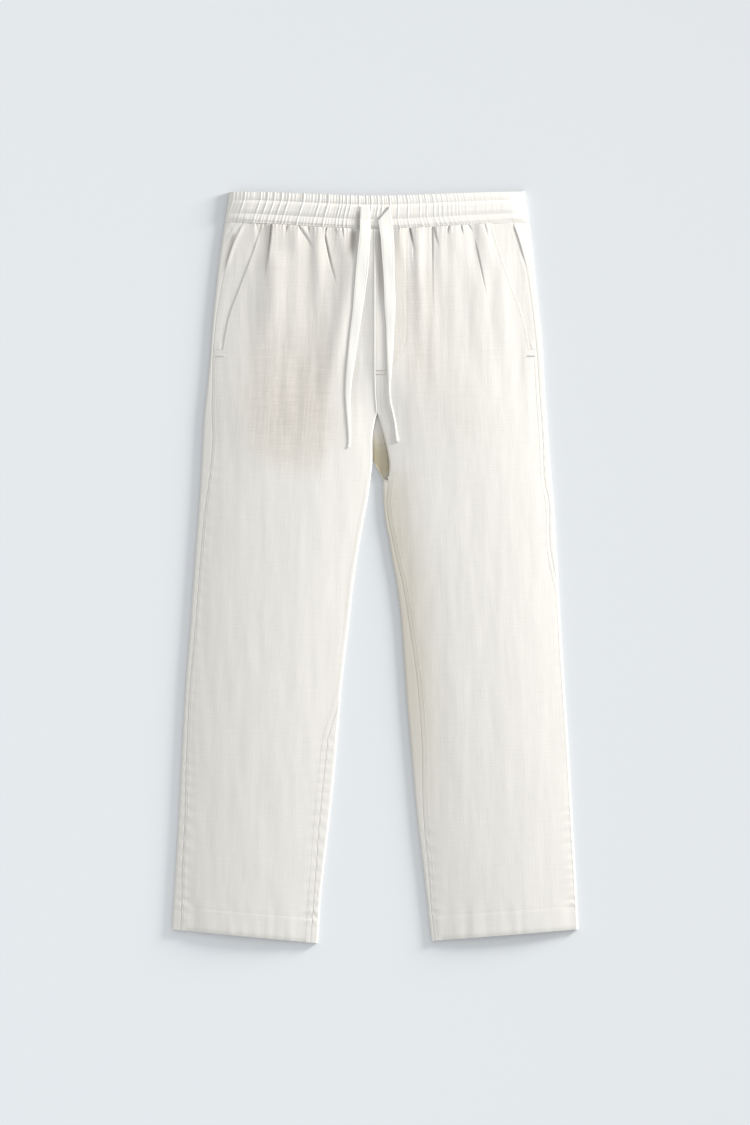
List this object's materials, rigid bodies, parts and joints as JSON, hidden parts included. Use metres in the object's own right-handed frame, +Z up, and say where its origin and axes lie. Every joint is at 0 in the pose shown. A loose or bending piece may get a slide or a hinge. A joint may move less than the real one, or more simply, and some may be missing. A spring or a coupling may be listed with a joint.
{
  "type": "linen drawstring trousers, laid flat",
  "caption": "Straight-leg linen trousers laid flat, face up, with a gathered drawstring waistband, slanted pockets and a closed fly.",
  "frame": {"origin": "on the surface that the trousers lie on, under the middle of their outline's box", "axes": "+Z up off that surface, +Y from the hems to the waist, +X to the wearer's left"},
  "size_m": [0.544, 1.0059, 0.0119],
  "materials": {
    "linen": "matt ivory linen, plain weave with slubs",
    "linen_tape": "matt off-white linen tape"
  },
  "bodies": {
    "root": {"front_right": "linen", "front_left": "linen", "back_right": "linen", "back_left": "linen", "pocket_facing_right": "linen", "pocket_facing_left": "linen", "waistband_front": "linen", "waistband_back": "linen", "drawstring_end_right": "linen_tape", "drawstring_end_left": "linen_tape"}
  },
  "joints": []
}
